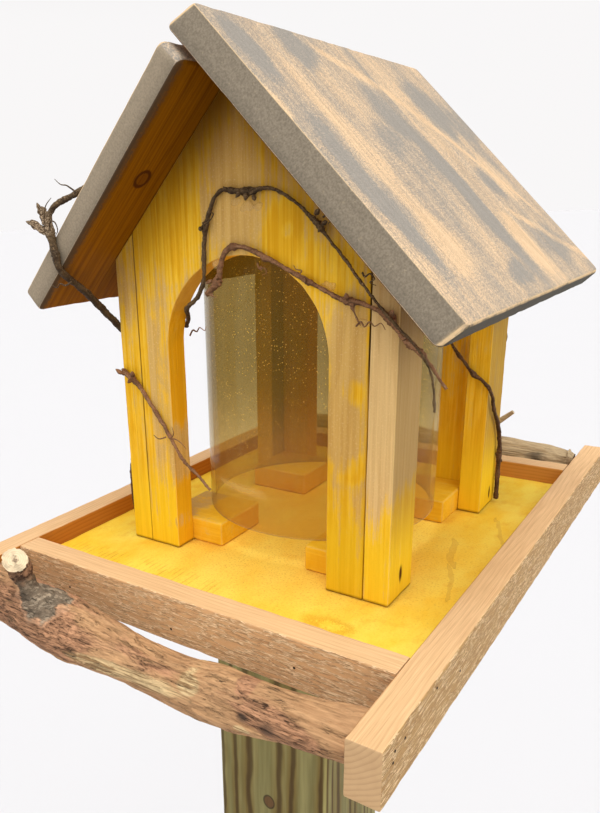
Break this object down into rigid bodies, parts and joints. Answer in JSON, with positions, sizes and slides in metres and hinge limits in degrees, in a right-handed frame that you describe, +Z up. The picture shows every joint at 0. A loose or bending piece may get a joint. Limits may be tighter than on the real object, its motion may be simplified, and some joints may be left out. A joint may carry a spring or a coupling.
{
  "type": "post-mounted bird feeder",
  "caption": "Gabled wooden bird feeder on a square post: arched end walls over a railed tray, open glass seed tube, branch perches and dried vine trim.",
  "frame": {"origin": "middle of the post's foot, at ground level", "axes": "+Z up along the post, -Y towards the front of the feeder, +X to its right seen from the front"},
  "size_m": [0.28, 0.43, 1.2212],
  "materials": {
    "treated_wood": "green pressure-treated pine with vertical grain",
    "yellow_wood": "yellow stain dry-brushed over pale wood",
    "rail_wood": "bare cedar, sawn faces and smooth edges",
    "roof_wood": "weathered board, blue-grey and tan streaks down the slope",
    "branch_wood": "natural branch with partly peeled bark",
    "vine_wood": "dry brown vine",
    "tube_glass": "clear, lightly dusty"
  },
  "bodies": {
    "root": {"mounting_post": "treated_wood", "tray_floor": "yellow_wood", "front_rail": "rail_wood", "back_rail": "rail_wood", "left_rail": "rail_wood", "right_rail": "rail_wood", "front_perch": "branch_wood", "back_perch": "branch_wood", "front_wall": "yellow_wood", "back_wall": "yellow_wood", "front_left_post": "yellow_wood", "front_right_post": "yellow_wood", "back_left_post": "yellow_wood", "back_right_post": "yellow_wood", "front_left_block": "yellow_wood", "front_right_block": "yellow_wood", "back_left_block": "yellow_wood", "back_right_block": "yellow_wood", "seed_tube": "tube_glass", "left_roof_board": "roof_wood", "right_roof_board": "roof_wood", "upper_vine": "vine_wood", "lower_vine": "vine_wood", "roof_vine": "vine_wood", "leg_twig": "vine_wood", "side_twig": "vine_wood", "post_vine": "vine_wood", "back_vine": "vine_wood"}
  },
  "joints": []
}
